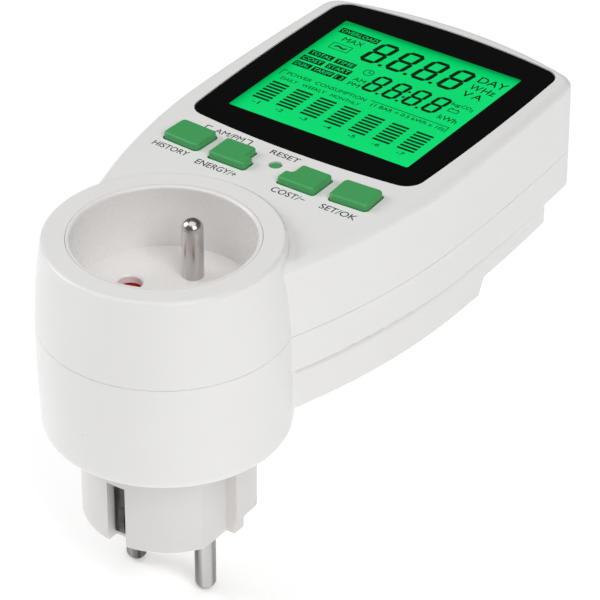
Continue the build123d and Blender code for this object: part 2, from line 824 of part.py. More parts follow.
# Turning safety shutter: a hub with one arm over each socket hole
with BuildPart() as shutter:
    with BuildSketch(Plane.XY.offset(shutter_bottom)) as shutter_plan:
        Rectangle(2 * shutter_reach, shutter_arm_width)
        fillet(shutter_plan.vertices(), shutter_corner)
        Circle(shutter_hub_radius)
        Circle(pivot_radius + pivot_clearance, mode=Mode.SUBTRACT)
    extrude(amount=shutter_thickness)
    with BuildSketch(Plane.XY.offset(shutter_bottom + shutter_thickness - ramp_depth)):
        for side in both_sides:
            with Locations((side * half_spacing, side * (shutter_arm_width / 2 - ramp_width / 2))):
                Rectangle(2 * socket_hole_radius, ramp_width)
    extrude(amount=ramp_depth, mode=Mode.SUBTRACT)
shutter.part.label = "shutter"
export_step(shutter.part, "parts/shutter.step")

# Torsion spring around the pivot boss
with BuildPart() as shutter_spring:
    with BuildLine() as coil:
        Helix(pitch=spring_pitch, height=spring_top - spring_bottom - 2 * spring_wire, radius=spring_radius,
              center=(0, 0, spring_bottom + spring_wire))
    with BuildSketch(Plane(origin=coil.line @ 0, z_dir=coil.line % 0)):
        Circle(spring_wire)
    sweep()
shutter_spring.part.label = "shutter_spring"
export_step(shutter_spring.part, "parts/shutter_spring.step")

# Display window, bonded on the ledge of the recess
with BuildPart() as display_window:
    with BuildSketch(Plane.XY.offset(face_height - window_recess_depth)):
        add(window_plan(window_gap))
    extrude(amount=window_thickness)
    fillet(display_window.edges().group_by(Axis.Z)[-1], window_edge)
display_window.part.label = "display_window"
export_step(display_window.part, "parts/display_window.step")


def raised_key(side, is_inner):
    """One key cap with its rounded top edge and the flange that keeps it in the casing."""
    with BuildPart() as key:
        with BuildSketch(Plane.XY.offset(key_flange_top)):
            add(key_plan(side, is_inner))
        extrude(amount=key_top - key_flange_top)
        fillet(key.edges().group_by(Axis.Z)[-1], key_top_edge)
        with BuildSketch(Plane.XY.offset(key_flange_bottom)):
            add(key_plan(side, is_inner, key_flange))
        extrude(amount=key_flange_thickness)
    return key.part


with BuildPart() as key_history:
    add(raised_key(-1, False))
key_history.part.label = "key_history"
export_step(key_history.part, "parts/key_history.step")

with BuildPart() as key_energy:
    add(raised_key(-1, True))
key_energy.part.label = "key_energy"
export_step(key_energy.part, "parts/key_energy.step")

with BuildPart() as key_cost:
    add(raised_key(1, True))
key_cost.part.label = "key_cost"
export_step(key_cost.part, "parts/key_cost.step")

with BuildPart() as key_set:
    add(raised_key(1, False))
key_set.part.label = "key_set"
export_step(key_set.part, "parts/key_set.step")

# Small flush reset button
with BuildPart() as reset_button:
    with BuildSketch(Plane.XY.offset(key_flange_bottom)):
        with Locations((0, reset_y)):
            Circle(reset_flange_radius)
    extrude(amount=key_flange_thickness)
    with BuildSketch(Plane.XY.offset(key_flange_top)):
        with Locations((0, reset_y)):
            Circle(reset_radius)
    extrude(amount=face_height - reset_sink - key_flange_top)
    fillet(reset_button.edges().group_by(Axis.Z)[-1], reset_edge)
reset_button.part.label = "reset_button"
export_step(reset_button.part, "parts/reset_button.step")

# Silicone mat with a hollow dome under every key
key_places = mirrored((outer_key_x, outer_key_y)) + mirrored((inner_key_x, inner_key_y))
mat_length = mat_far_y - mat_near_y
with BuildPart() as keypad_mat:
    with BuildSketch(Plane.XY.offset(main_board_top)):
        with Locations((0, (mat_near_y + mat_far_y) / 2)):
            RectangleRounded(2 * mat_half_width, mat_length, key_corner_radius)
    extrude(amount=mat_base_thickness)
    with BuildSketch(Plane.XY.offset(main_board_top)):
        with Locations(*key_places):
            Circle(dome_radius)
        with Locations((0, reset_y)):
            Circle(reset_dome_radius)
    extrude(amount=key_flange_bottom - main_board_top)
    with BuildSketch(Plane.XY.offset(main_board_top)):
        with Locations(*key_places):
            Circle(dome_radius - dome_wall)
        with Locations((0, reset_y)):
            Circle(reset_dome_radius - dome_wall)
    extrude(amount=key_flange_bottom - main_board_top - dome_wall, mode=Mode.SUBTRACT)
keypad_mat.part.label = "keypad_mat"
export_step(keypad_mat.part, "parts/keypad_mat.step")

# Display and key board, hung from the front casing
with BuildPart() as main_pcb:
    with BuildSketch(Plane.XY.offset(main_board_bottom)):
        add(body_plan(wall + board_edge_gap))
        Rectangle(beyond, 2 * main_board_near_y, mode=Mode.SUBTRACT)
        with Locations(*post_places):
            Circle(board_hole_radius, mode=Mode.SUBTRACT)
    extrude(amount=board_thickness)
main_pcb.part.label = "main_pcb"
export_step(main_pcb.part, "parts/main_pcb.step")

with BuildPart() as lcd_glass:
    with BuildSketch(Plane.XY.offset(main_board_top + guide_thickness)):
        with Locations((0, lcd_middle_y)):
            Rectangle(2 * lcd_half_width, lcd_length)
    extrude(amount=lcd_thickness)
lcd_glass.part.label = "lcd_glass"
export_step(lcd_glass.part, "parts/lcd_glass.step")

with BuildPart() as lcd_backlight:
    with BuildSketch(Plane.XY.offset(main_board_top)):
        with Locations((0, (guide_near_y + lcd_far_y) / 2)):
            Rectangle(2 * lcd_half_width, lcd_far_y - guide_near_y)
    extrude(amount=guide_thickness)
lcd_backlight.part.label = "lcd_backlight"
export_step(lcd_backlight.part, "parts/lcd_backlight.step")

# Frame that locates the display stack on the board
with BuildPart() as lcd_holder:
    with BuildSketch(Plane.XY.offset(main_board_top)):
        with Locations((0, lcd_middle_y)):
            RectangleRounded(
                2 * (lcd_half_width + holder_gap + holder_wall),
                lcd_length + 2 * (holder_gap + holder_wall),
                holder_wall,
            )
            Rectangle(2 * (lcd_half_width + holder_gap), lcd_length + 2 * holder_gap, mode=Mode.SUBTRACT)
    extrude(amount=face_underside - lcd_gap - main_board_top)
lcd_holder.part.label = "lcd_holder"
export_step(lcd_holder.part, "parts/lcd_holder.step")

with BuildPart() as zebra_strip:
    with BuildSketch(Plane.XY.offset(main_board_top)):
        with Locations((0, (lcd_near_y + guide_near_y) / 2)):
            Rectangle(2 * zebra_half_length, zebra_width)
    extrude(amount=guide_thickness)
zebra_strip.part.label = "zebra_strip"
export_step(zebra_strip.part, "parts/zebra_strip.step")

# Screws that hold the main board up against its posts
with BuildPart() as pcb_screws:
    with BuildSketch(Plane.XY.offset(main_board_bottom - pcb_screw_head)):
        with Locations(*post_places):
            Circle(pcb_screw_head_radius)
    extrude(amount=pcb_screw_head)
    with BuildSketch(Plane.XY.offset(main_board_bottom)):
        with Locations(*post_places):
            Circle(post_hole_radius)
    extrude(amount=board_thickness + pcb_screw_bite - screw_end_gap)
pcb_screws.part.label = "pcb_screws"
export_step(pcb_screws.part, "parts/pcb_screws.step")

with BuildPart() as meter_chip:
    with BuildSketch(Plane.XY.offset(main_board_bottom - chip_thickness)):
        with Locations((0, chip_y)):
            Rectangle(chip_size, chip_size)
    extrude(amount=chip_thickness)
    chamfer(meter_chip.edges().group_by(Axis.Z)[0], chip_bevel)
meter_chip.part.label = "meter_chip"
export_step(meter_chip.part, "parts/meter_chip.step")

# Three button cells stacked along X, flattened where they meet the board
battery_axis_height = main_board_bottom - battery_radius + battery_sink
with BuildPart() as backup_battery:
    with BuildSketch(Plane.YZ):
        with Locations((battery_y, battery_axis_height)):
            Circle(battery_radius - battery_waist)
    extrude(amount=battery_cells * battery_cell / 2, both=True)
    for cell in (-1, 0, 1):
        with BuildSketch(Plane.YZ.offset((cell - 0.5) * battery_cell + battery_waist / 2)):
            with Locations((battery_y, battery_axis_height)):
                Circle(battery_radius)
        extrude(amount=battery_cell - battery_waist)
    split(bisect_by=Plane.XY.offset(main_board_bottom), keep=Keep.BOTTOM)
backup_battery.part.label = "backup_battery"
export_step(backup_battery.part, "parts/backup_battery.step")

# Pin header between the two boards, with a plastic bar at each end
link_height = main_board_bottom - power_board_top
with BuildPart() as board_link:
    with BuildSketch(Plane.XY.offset(power_board_top)):
        with Locations((link_x, link_y)):
            with GridLocations(link_pitch, 0, link_pins, 1):
                Circle(link_pin_radius)
    extrude(amount=link_height)
    for bar_bottom in (power_board_top, main_board_bottom - link_plastic):
        with BuildSketch(Plane.XY.offset(bar_bottom)):
            with Locations((link_x, link_y)):
                Rectangle(link_pins * link_pitch, link_pitch)
        extrude(amount=link_plastic)
board_link.part.label = "board_link"
export_step(board_link.part, "parts/board_link.step")

# Measuring and supply board on its two posts in the rear casing
with BuildPart() as power_pcb:
    with BuildSketch(Plane.XY.offset(power_board_bottom)):
        with Locations((0, (power_board_near_y + power_board_far_y) / 2)):
            Rectangle(2 * power_board_half_width, power_board_far_y - power_board_near_y)
        with Locations(*power_post_places):
            Circle(board_hole_radius, mode=Mode.SUBTRACT)
    extrude(amount=board_thickness)
power_pcb.part.label = "power_pcb"
export_step(power_pcb.part, "parts/power_pcb.step")

with BuildPart() as power_pcb_screws:
    with BuildSketch(Plane.XY.offset(power_board_top)):
        with Locations(*power_post_places):
            Circle(pcb_screw_head_radius)
    extrude(amount=pcb_screw_head)
    with BuildSketch(Plane.XY.offset(power_board_bottom - pcb_screw_bite + screw_end_gap)):
        with Locations(*power_post_places):
            Circle(post_hole_radius)
    extrude(amount=board_thickness + pcb_screw_bite - screw_end_gap)
power_pcb_screws.part.label = "power_pcb_screws"
export_step(power_pcb_screws.part, "parts/power_pcb_screws.step")

with BuildPart() as x_capacitor:
    with BuildSketch(Plane.XY.offset(power_board_top)):
        with Locations((0, capacitor_y)):
            Rectangle(capacitor_length, capacitor_width)
    extrude(amount=capacitor_height)
    chamfer(x_capacitor.edges().group_by(Axis.Z)[-1], chip_bevel)
x_capacitor.part.label = "x_capacitor"
export_step(x_capacitor.part, "parts/x_capacitor.step")

# Surge disc standing on two short leads
with BuildPart() as varistor:
    with BuildSketch(Plane.XZ.offset(-varistor_y)):
        with Locations((varistor_x, power_board_top + varistor_lead + varistor_radius)):
            Circle(varistor_radius)
    extrude(amount=varistor_thickness / 2, both=True)
    with BuildSketch(Plane.XY.offset(power_board_top)):
        with Locations((varistor_x - link_pitch, varistor_y), (varistor_x + link_pitch, varistor_y)):
            Circle(link_pin_radius)
    extrude(amount=varistor_lead + varistor_radius / 2)
varistor.part.label = "varistor"
export_step(varistor.part, "parts/varistor.step")

with BuildPart() as smoothing_capacitor:
    with BuildSketch(Plane.XY.offset(power_board_top)):
        with Locations((can_x, can_y)):
            Circle(can_radius)
    extrude(amount=can_height)
    fillet(smoothing_capacitor.edges().group_by(Axis.Z)[-1], chip_bevel)
smoothing_capacitor.part.label = "smoothing_capacitor"
export_step(smoothing_capacitor.part, "parts/smoothing_capacitor.step")

# Four casing screws, driven from the wells in the back into the front bosses
with BuildPart() as casing_screws:
    with BuildSketch(Plane.XY.offset(screw_seat_height - screw_head_height)):
        with Locations(*screw_places):
            Circle(screw_head_radius)
    extrude(amount=screw_head_height)
    fillet(casing_screws.edges().group_by(Axis.Z)[0], screw_head_edge)
    with BuildSketch(Plane.XY.offset(screw_seat_height)):
        with Locations(*screw_places):
            Circle(screw_shaft_radius)
    extrude(amount=seam_height - screw_seat_height + screw_bite)
    with BuildSketch(Plane.XY.offset(screw_seat_height - screw_head_height)):
        with Locations(*screw_places):
            Rectangle(screw_cross, screw_slot_width)
            Rectangle(screw_slot_width, screw_cross)
    extrude(amount=screw_slot_depth, mode=Mode.SUBTRACT)
casing_screws.part.label = "casing_screws"
export_step(casing_screws.part, "parts/casing_screws.step")

with BuildPart() as rating_label:
    with BuildSketch(Plane.XY.offset(body_bottom)):
        with Locations((0, label_y)):
            RectangleRounded(label_width, label_length, key_corner_radius)
    extrude(amount=label_thickness)
rating_label.part.label = "rating_label"
export_step(rating_label.part, "parts/rating_label.step")
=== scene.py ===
import bpy
from mathutils import Matrix, Vector


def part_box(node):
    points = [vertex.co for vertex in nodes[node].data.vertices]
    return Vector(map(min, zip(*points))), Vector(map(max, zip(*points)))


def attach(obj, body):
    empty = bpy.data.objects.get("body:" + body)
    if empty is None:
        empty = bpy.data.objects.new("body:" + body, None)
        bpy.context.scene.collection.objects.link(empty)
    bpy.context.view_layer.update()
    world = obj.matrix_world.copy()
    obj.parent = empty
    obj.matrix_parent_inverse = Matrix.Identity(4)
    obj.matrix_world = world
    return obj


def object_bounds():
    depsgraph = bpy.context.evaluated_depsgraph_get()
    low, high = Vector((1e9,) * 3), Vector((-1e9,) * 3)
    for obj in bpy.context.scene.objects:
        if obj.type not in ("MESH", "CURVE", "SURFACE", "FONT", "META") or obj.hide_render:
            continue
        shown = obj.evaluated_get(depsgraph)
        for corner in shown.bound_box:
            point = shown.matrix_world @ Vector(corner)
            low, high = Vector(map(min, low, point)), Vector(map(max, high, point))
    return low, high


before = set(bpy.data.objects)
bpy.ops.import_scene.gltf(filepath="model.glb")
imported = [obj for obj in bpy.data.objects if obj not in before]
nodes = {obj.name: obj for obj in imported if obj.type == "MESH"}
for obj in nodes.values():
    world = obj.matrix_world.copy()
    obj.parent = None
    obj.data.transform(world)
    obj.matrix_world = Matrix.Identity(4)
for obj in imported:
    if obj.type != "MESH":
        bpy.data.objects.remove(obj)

cad_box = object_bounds()

# ---------------------------------------------------------------------------
# Casing: two white ABS shells, injection moulded with a satin spark-eroded
# skin. The halves meet at a bevelled seam and are drawn together by four
# screws from the back.

millimetre = 0.001


class Wire:
    """An output socket of a material, which sums like a number."""

    def __init__(self, finish, socket):
        self.finish = finish
        self.socket = socket

    def sum(self, operation, *values):
        return self.finish.sum(operation, *values)

    def __add__(self, other):
        return self.sum("ADD", self, other)

    def __mul__(self, other):
        return self.sum("MULTIPLY", self, other)

    def __sub__(self, other):
        return self.sum("SUBTRACT", self, other)

    def __rsub__(self, other):
        return self.sum("SUBTRACT", other, self)

    def __truediv__(self, other):
        return self.sum("DIVIDE", self, other)

    def __lt__(self, other):
        return self.sum("LESS_THAN", self, other)

    def __gt__(self, other):
        return self.sum("GREATER_THAN", self, other)

    def __abs__(self):
        return self.sum("ABSOLUTE", self)

    def __mod__(self, other):
        return self.sum("FLOORED_MODULO", self, other)

    __radd__ = __add__


class Finish:
    """A material: one surface shader, and the nodes that feed it."""

    def __init__(self, name):
        self.material = bpy.data.materials.new(name)
        self.material.use_nodes = True
        self.tree = self.material.node_tree
        self.tree.nodes.clear()
        self.out = self.tree.nodes.new("ShaderNodeOutputMaterial")

    def node(self, kind, settings, inputs, output=0):
        made = self.tree.nodes.new(kind)
        for name, value in settings.items():
            setattr(made, name, value)
        for name, value in inputs.items():
            if isinstance(value, Wire):
                self.tree.links.new(value.socket, made.inputs[name])
            else:
                made.inputs[name].default_value = value
        return Wire(self, made.outputs[output])

    def sum(self, operation, *values):
        return self.node("ShaderNodeMath", {"operation": operation}, dict(enumerate(values)))

    def place(self, stretch=(1, 1, 1)):
        """Object coordinates in metres, stretched."""
        where = self.node("ShaderNodeTexCoord", {}, {}, "Object")
        return self.node("ShaderNodeMapping", {}, {"Vector": where, "Scale": stretch})

    def axes(self):
        """The x, y and z of a point, in millimetres."""
        point = self.place((1 / millimetre, 1 / millimetre, 1 / millimetre))
        split = self.node("ShaderNodeSeparateXYZ", {}, {"Vector": point})
        return [Wire(self, socket) for socket in split.socket.node.outputs]

    def grain(self, size, detail=2.0, stretch=(1, 1, 1)):
        """Noise from 0 to 1, its size in millimetres."""
        return self.node("ShaderNodeTexNoise", {}, {
            "Vector": self.place(stretch), "Scale": 1 / (size * millimetre), "Detail": detail})

    def blend(self, factor, first, second):
        """A colour between two colours. A mix's colour sockets are 6 and 7, and 2 comes out."""
        return self.node(
            "ShaderNodeMix", {"data_type": "RGBA"}, {0: factor, 6: first, 7: second}, 2)

    def bump(self, height, depth, strength=1.0):
        """Raised surface, its depth in millimetres."""
        return self.node("ShaderNodeBump", {}, {
            "Height": height, "Distance": depth * millimetre, "Strength": strength})

    def surface(self, inputs):
        """The Principled shader that ends the tree."""
        shader = self.node("ShaderNodeBsdfPrincipled", {}, inputs)
        self.tree.links.new(shader.socket, self.out.inputs["Surface"])
        return self.material


def rgb(red, green, blue):
    """A colour as a colour socket wants it."""
    return (red, green, blue, 1.0)


def dress(material, *names):
    """Gives CAD nodes a material in place of their plain one."""
    for name in names:
        mesh = nodes[name].data
        mesh.materials.clear()
        mesh.materials.append(material)


mottle_size = 14.0


def moulded(name, colour, shade, gloss, skin, depth, glow=0.0):
    """Moulded plastic: faint mottling over a satin skin, its pores skin wide and depth deep."""
    finish = Finish(name)
    mottle = finish.grain(mottle_size, detail=3.0)
    pores = finish.grain(skin)
    fine = finish.grain(skin * 4, detail=3.0)
    return finish.surface({
        "Base Color": finish.blend(mottle * 0.7 + pores * 0.3, rgb(*shade), rgb(*colour)),
        "Roughness": gloss + fine * 0.10 + mottle * 0.05,
        "Normal": finish.bump(pores, depth, strength=0.6),
        "Specular IOR Level": 0.5,
        "Subsurface Weight": glow,
        "Subsurface Radius": (0.004, 0.004, 0.004),
        "Subsurface Scale": 0.4,
    })


casing_colour = (0.875, 0.868, 0.862)
casing_shade = (0.830, 0.822, 0.815)
casing_gloss = 0.26
casing_skin = 0.22
casing_depth = 0.005

casing_white = moulded("casing_white", casing_colour, casing_shade,
                       gloss=casing_gloss, skin=casing_skin, depth=casing_depth)
dress(casing_white, "front_casing")

# The rear half has painted shade under the ledge, where its lower tier meets it.
ledge_height = 39.2
shade_band_depth = 2.0
barrel_radius = 28.2
rear = Finish("casing_white_rear")
x, y, z = rear.axes()
mottle = rear.grain(mottle_size, detail=3.0)
pores = rear.grain(casing_skin)
plain = rear.blend(mottle * 0.7 + pores * 0.3, rgb(*casing_shade), rgb(*casing_colour))
below = (ledge_height - z) / shade_band_depth
off_barrel = rear.sum("SQRT", x * x + y * y) > barrel_radius
# Painted shade: darkest just under the ledge, fading over the band's depth, off the barrel.
painted_ledge_shade = (1.0 - below) * (below > 0.0) * off_barrel * (0.75 + mottle * 0.5)
casing_rear = rear.surface({
    "Base Color": rear.blend(painted_ledge_shade, plain, rgb(0.62, 0.605, 0.595)),
    "Roughness": casing_gloss + mottle * 0.05 + painted_ledge_shade * 0.2,
    "Normal": rear.bump(pores, casing_depth, strength=0.6),
})
dress(casing_rear, "rear_casing")

# ---------------------------------------------------------------------------
# Socket cup: a deep white polycarbonate cup clipped up inside the collar. Its
# wall is polished by the mould core, and its floor has faint turned rings.

cup = Finish("insert_white")
x, y, z = cup.axes()
radius = cup.sum("SQRT", x * x + y * y)
ring_rate = 9.0
rings = cup.sum("SINE", radius * ring_rate)
cup_skin = cup.grain(0.3)
cup_mottle = cup.grain(11.0, detail=3.0)
insert_white = cup.surface({
    "Base Color": cup.blend(cup_mottle, rgb(0.84, 0.822, 0.81), rgb(0.865, 0.85, 0.84)),
    "Roughness": 0.24 + cup_skin * 0.08,
    "Normal": cup.bump(cup_skin * 0.6 + rings * 0.08, 0.003, strength=0.4),
})
dress(insert_white, "socket_insert")

# ---------------------------------------------------------------------------
# Plug body: hard white thermoset moulding with a slightly drier skin than the
# casing. Its flange is trapped inside the barrel.

plug_white = moulded("plug_white", (0.775, 0.755, 0.742), (0.735, 0.715, 0.702),
                     gloss=0.30, skin=0.28, depth=0.006)
dress(plug_white, "plug_body")

# ---------------------------------------------------------------------------
# Plug pins: nickel-plated brass, turned and polished, riveted behind the
# plug. Fine turning marks run round each pin, and long streaks along it roughen it
# like scuffs from plugging in; their near-black colour is a painted dark reflection.

def plated(name, colour, dark, gloss, marks, streak=0.9):
    """Plated metal turned about Z: fine rings marks deep, and streaks along the axis."""
    finish = Finish(name)
    turned = finish.grain(0.25, stretch=(0.05, 0.05, 1.0))
    scuffs_and_dark_reflection = finish.grain(streak, detail=3.0, stretch=(1.0, 1.0, 0.04))
    return finish.surface({
        "Base Color": finish.blend(scuffs_and_dark_reflection * 4.0 - 1.5, rgb(*dark), rgb(*colour)),
        "Metallic": 1.0,
        "Roughness": gloss + scuffs_and_dark_reflection * 0.10 + turned * 0.05,
        "Normal": finish.bump(turned * 0.7 + scuffs_and_dark_reflection * 0.3, marks, strength=0.5),
    })


# Near-black streaks on the line pins: painted dark reflections.
pin_nickel = plated("plated_pin", (0.56, 0.55, 0.54), (0.022, 0.021, 0.020),
                    gloss=0.05, marks=0.002, streak=4.0)
dress(pin_nickel, "line_pin_left", "line_pin_right")

# ---------------------------------------------------------------------------
# Earth pin of the socket: a round nickel-plated pin with a domed tip, its
# shoulder on the cup's floor and its stem riveted to the earth strap.

earth_nickel = plated("earth_pin_nickel", (0.68, 0.65, 0.635), (0.46, 0.435, 0.425),
                      gloss=0.16, marks=0.003, streak=2.2)
dress(earth_nickel, "earth_pin")

# ---------------------------------------------------------------------------
# Contact metal: the plug's earth strap and female earth contact, the socket
# contacts and the shunt, cut and bent from strip with a dull tarnish. The strap
# is coloured near black, which is painted shade of the slot it lies in.

def strip(name, bright, dull, gloss):
    """Rolled strip metal: long rolling lines and cloudy tarnish."""
    finish = Finish(name)
    rolled = finish.grain(0.3, stretch=(1.0, 0.08, 0.08))
    tarnish = finish.grain(4.0, detail=4.0)
    return finish.surface({
        "Base Color": finish.blend(tarnish, rgb(*dull), rgb(*bright)),
        "Metallic": 1.0,
        "Roughness": gloss + tarnish * 0.15,
        "Normal": finish.bump(rolled, 0.004, strength=0.5),
    })


# The strap's near-black colour is painted shade of the plug's slot it lies in.
strap_nickel_painted_shade = strip("strap_nickel_painted_shade", (0.13, 0.125, 0.12), (0.020, 0.019, 0.018), gloss=0.14)
dress(strap_nickel_painted_shade, "earth_strap")
contact_brass = strip("contact_brass", (0.78, 0.58, 0.27), (0.55, 0.38, 0.16), gloss=0.25)
dress(contact_brass, "earth_sleeve", "contact_left", "contact_right")
shunt_alloy = strip("shunt_alloy", (0.55, 0.42, 0.34), (0.40, 0.29, 0.22), gloss=0.30)
dress(shunt_alloy, "shunt")

# ---------------------------------------------------------------------------
# Contact block: off-white glass-filled polyamide that holds the contacts and
# the shutter's pivot. Only seen through the socket holes.

block_grey = moulded("block_grey", (0.66, 0.65, 0.61), (0.56, 0.55, 0.51),
                     gloss=0.42, skin=0.5, depth=0.02)
dress(block_grey, "contact_block")

# ---------------------------------------------------------------------------
# Safety shutter: red polyamide rotor that shuts both socket holes, with a
# small torsion spring under its hub.

shutter_red = moulded("shutter_red", (0.52, 0.02, 0.025), (0.40, 0.012, 0.018),
                      gloss=0.30, skin=0.3, depth=0.01)
dress(shutter_red, "shutter")
spring_wire = plated("spring_steel", (0.50, 0.50, 0.50), (0.36, 0.36, 0.36),
                     gloss=0.25, marks=0.004)
dress(spring_wire, "shutter_spring")

# ---------------------------------------------------------------------------
# Display: a liquid-crystal cell lit green from behind, in a white frame, with
# an elastomer strip to the board. The lit field has a painted highlight along its
# lower and right edges, and a painted shadow of the window's recess along the other two.

view_left = -24.0
view_right = 24.0
view_near = 56.2
view_far = 102.5
view_round = 0.5
field_width = 48.0
field_depth = 47.0
field_margin = 0.6
recess_shadow_rate = -0.80

lit = Finish("lcd")
x, y, z = lit.axes()
from_right = (view_right + field_margin - x) / field_width
from_near = (y - view_near + field_margin) / field_depth
# Painted highlight along the near and right edges, painted recess shadow along the far and left.
painted_edge_highlight = lit.sum("EXPONENT", from_right * -14.0) + lit.sum("EXPONENT", from_near * -16.0)
painted_recess_shadow = (lit.sum("EXPONENT", (x - view_left) * recess_shadow_rate)
            + lit.sum("EXPONENT", (view_far - y) * recess_shadow_rate))
cloud = lit.grain(9.0)
green = lit.blend(painted_edge_highlight * 0.55 + cloud * 0.12, rgb(0.0, 0.70, 0.155), rgb(0.0, 0.84, 0.21))
field = lit.blend(painted_recess_shadow * 0.40, green, rgb(0.0, 0.36, 0.07))
lcd_green = lit.surface({
    "Base Color": rgb(0.0, 0.04, 0.015),
    "Roughness": 0.35 + cloud * 0.1,
    "Emission Color": field,
    "Emission Strength": 1.0,
    "Specular IOR Level": 0.2,
})
dress(lcd_green, "lcd_glass")

guide = Finish("backlight")
dots_per_metre = 900.0
guide_dots = guide.node(
    "ShaderNodeTexVoronoi", {}, {"Vector": guide.place(), "Scale": dots_per_metre})
backlight = guide.surface({
    "Base Color": guide.blend(guide_dots, rgb(0.65, 0.95, 0.75), rgb(0.10, 0.75, 0.35)),
    "Emission Color": rgb(0.02, 0.75, 0.25),
    "Emission Strength": 0.6,
    "Roughness": 0.3 + guide_dots * 0.2,
})
dress(backlight, "lcd_backlight")
holder_white = moulded("holder_white", (0.78, 0.78, 0.75), (0.70, 0.70, 0.67),
                       gloss=0.45, skin=0.4, depth=0.015)
dress(holder_white, "lcd_holder")

stripes = Finish("elastomer")
x, y, z = stripes.axes()
stripe_pitch = 0.18
stripe = (x % stripe_pitch) < stripe_pitch / 2
elastomer = stripes.surface({
    "Base Color": stripes.blend(stripe, rgb(0.42, 0.42, 0.44), rgb(0.02, 0.02, 0.02)),
    "Roughness": 0.55 + stripes.grain(0.4) * 0.2,
})
dress(elastomer, "zebra_strip")

# ---------------------------------------------------------------------------
# Display figures: the dark segments that the cell shows with every segment
# on. They are thin film on the cell's face: two rows of slanted digits, the
# captions round them, and seven columns of bars.

film = 0.02 * millimetre
cell_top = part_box("lcd_glass")[1].z


def clear():
    """Deselects everything."""
    bpy.ops.object.select_all(action="DESELECT")


def flat_bar(left, near, width, depth, level, pointed=0.0):
    """A flat bar in millimetres, with its corners cut to points where asked."""
    clear()
    bpy.ops.mesh.primitive_plane_add(size=1, location=(0, 0, 0))
    bar = bpy.context.object
    for vertex in bar.data.vertices:
        vertex.co.x *= width * millimetre
        vertex.co.y *= depth * millimetre
    if pointed:
        bpy.ops.object.mode_set(mode="EDIT")
        bpy.ops.mesh.select_all(action="SELECT")
        bpy.ops.mesh.bevel(affect="VERTICES", offset=pointed * millimetre, offset_type="OFFSET")
        bpy.ops.object.mode_set(mode="OBJECT")
    bar.data.transform(Matrix.Translation(
        ((left + width / 2) * millimetre, (near + depth / 2) * millimetre, level)))
    return bar


def outline(left, near, width, depth, line, level):
    """A flat open box in millimetres."""
    box = flat_bar(left, near, width, depth, level)
    bpy.ops.object.mode_set(mode="EDIT")
    bpy.ops.mesh.select_all(action="SELECT")
    bpy.ops.mesh.inset(thickness=line * millimetre, use_even_offset=True)
    bpy.ops.mesh.delete(type="FACE")
    bpy.ops.object.mode_set(mode="OBJECT")
    return box


def ring(middle_x, middle_y, radius, line, level):
    """A flat open circle in millimetres."""
    clear()
    bpy.ops.mesh.primitive_circle_add(
        vertices=40, radius=radius * millimetre, fill_type="NGON",
        location=(middle_x * millimetre, middle_y * millimetre, level))
    circle = bpy.context.object
    bpy.ops.object.transform_apply(location=True, rotation=True, scale=True)
    bpy.ops.object.mode_set(mode="EDIT")
    bpy.ops.mesh.select_all(action="SELECT")
    bpy.ops.mesh.inset(thickness=line * millimetre, use_even_offset=True)
    bpy.ops.mesh.delete(type="FACE")
    bpy.ops.object.mode_set(mode="OBJECT")
    return circle


def lettering(words, left, near, width, height, level):
    """Flat lettering in millimetres, fitted to a width and a height.

    Letters are thickened a little, except round an M, which would fill in.
    """
    clear()
    bpy.ops.object.text_add(location=(0, 0, 0))
    text = bpy.context.object.data
    text.body = words
    text.resolution_u = 4
    text.offset = 0.0 if "M" in words else 0.006
    bpy.ops.object.convert(target="MESH")
    made = bpy.context.object
    xs = [vertex.co.x for vertex in made.data.vertices]
    ys = [vertex.co.y for vertex in made.data.vertices]
    for vertex in made.data.vertices:
        vertex.co.x = (left + (vertex.co.x - min(xs)) / (max(xs) - min(xs)) * width) * millimetre
        vertex.co.y = (near + (vertex.co.y - min(ys)) / (max(ys) - min(ys)) * height) * millimetre
        vertex.co.z = level
    return made


def one_film(parts, name, thickness, facing=1):
    """Joins flat parts and thickens them the way they face, up for 1 or down for -1."""
    clear()
    for part in parts:
        part.select_set(True)
    bpy.context.view_layer.objects.active = parts[0]
    bpy.ops.object.join()
    made = bpy.context.object
    made.name = name
    made.data.name = name
    bpy.ops.object.mode_set(mode="EDIT")
    bpy.ops.mesh.select_all(action="SELECT")
    bpy.ops.mesh.select_mode(type="FACE")
    bpy.ops.mesh.remove_doubles(threshold=0.004 * millimetre)
    bpy.ops.mesh.select_all(action="DESELECT")
    bpy.ops.object.mode_set(mode="OBJECT")
    for polygon in made.data.polygons:
        polygon.select = polygon.normal.z * facing < 0
    bpy.ops.object.mode_set(mode="EDIT")
    bpy.ops.mesh.flip_normals()
    bpy.ops.object.mode_set(mode="OBJECT")
    thick = made.modifiers.new("film", "SOLIDIFY")
    thick.thickness = thickness
    thick.offset = 1
    bpy.ops.object.modifier_apply(modifier=thick.name)
    return made


def digit(left, near, width, height, stroke):
    """A digit with all seven segments on, leaning to the right."""
    lean = 0.12
    gap = stroke * 0.07
    point = stroke * 0.46
    half = (height - stroke) / 2
    long_x = width - stroke - 2 * gap
    long_y = half - 2 * gap
    bars = []
    for row in range(3):
        bars.append((stroke / 2 + gap, row * half, long_x, stroke))
    for column in range(2):
        for row in range(2):
            bars.append((column * (width - stroke), stroke / 2 + row * half + gap, stroke, long_y))
    made = []
    for bar_left, bar_near, bar_width, bar_depth in bars:
        bar = flat_bar(bar_left, bar_near, bar_width, bar_depth, cell_top, point)
        for vertex in bar.data.vertices:
            vertex.co.x += lean * vertex.co.y + left * millimetre
            vertex.co.y += near * millimetre
        made.append(bar)
    return made


digits = 4
large_near = 90.9
large_pitch = 6.95
small_near = 80.0
small_pitch = 5.35
decimal_points = ((-7.5, 6.85, large_near, 0.9), (-0.8, small_pitch, small_near, 0.7))
columns = 7
column_pitch = 6.5
bars_in_column = 7
bar_pitch = 1.29

